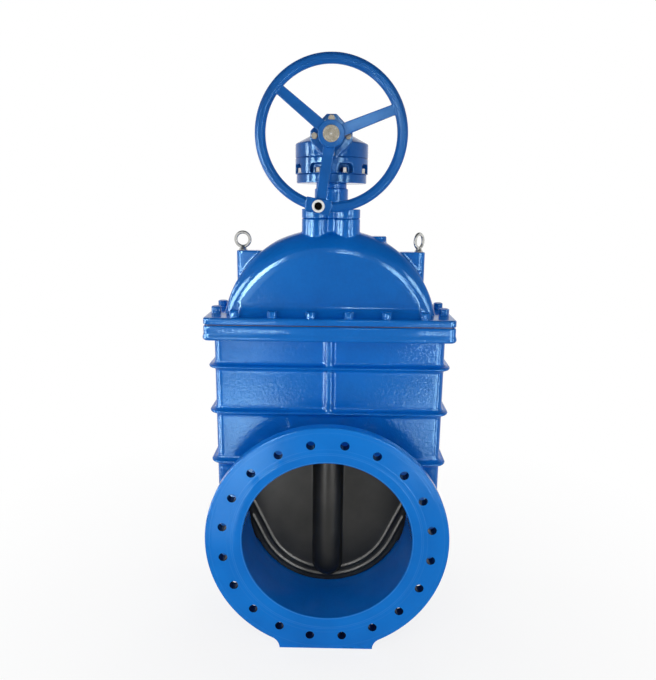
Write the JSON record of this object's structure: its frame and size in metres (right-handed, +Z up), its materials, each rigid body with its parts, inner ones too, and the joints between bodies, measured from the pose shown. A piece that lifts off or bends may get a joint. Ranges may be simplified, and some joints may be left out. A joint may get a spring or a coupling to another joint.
{
  "type": "flanged resilient-seated gate valve",
  "caption": "Large flanged gate valve with a ribbed body, arched bonnet, rubber-covered wedge, bevel gear operator and three-spoke handwheel.",
  "frame": {"origin": "on the floor under the stem, midway between the two port faces", "axes": "+Z up along the stem, +Y along the pipe away from the handwheel, +X to the right seen from the handwheel"},
  "size_m": [0.846, 0.508, 1.982],
  "materials": {
    "valve_paint": "glossy blue epoxy coating",
    "operator_paint": "glossy blue paint",
    "gate_rubber": "black rubber bonded over an iron core",
    "gasket_rubber": "matt black",
    "zinc": "bright zinc plate",
    "stem_steel": "turned"
  },
  "bodies": {
    "valve": {"body": "valve_paint", "front_flange": "valve_paint", "rear_flange": "valve_paint", "joint_gasket": "gasket_rubber", "bonnet": "valve_paint", "joint_bolts": "valve_paint", "eye_left": "zinc", "eye_right": "zinc", "gland_flange": "valve_paint", "column": "valve_paint", "stem": "stem_steel", "case_base": "operator_paint", "gear_case": "operator_paint", "case_bolts": "zinc", "case_cover": "operator_paint", "bearing_cap": "operator_paint", "cap_bolts": "zinc"},
    "handwheel": {"input_shaft": "zinc", "wheel_hub": "operator_paint", "wheel_spokes": "operator_paint", "wheel_rim": "operator_paint", "handle_bush": "zinc", "hub_washer": "zinc"},
    "gate": {"gate": "gate_rubber"}
  },
  "joints": [
    {"name": "handwheel_turn", "type": "hinge", "parent": "valve", "child": "handwheel", "pos_m": [0, -0.221, 1.752], "axis": [0, -1, 0], "range_deg": [0, 72600]},
    {"name": "gate_lift", "type": "slide", "parent": "valve", "child": "gate", "axis": [0, 0, 1], "range_m": [0, 0.605]}
  ],
  "couplings": [
    {"joint": "gate_lift", "follows": "handwheel_turn", "m_per_rad": 0.00047746}
  ]
}
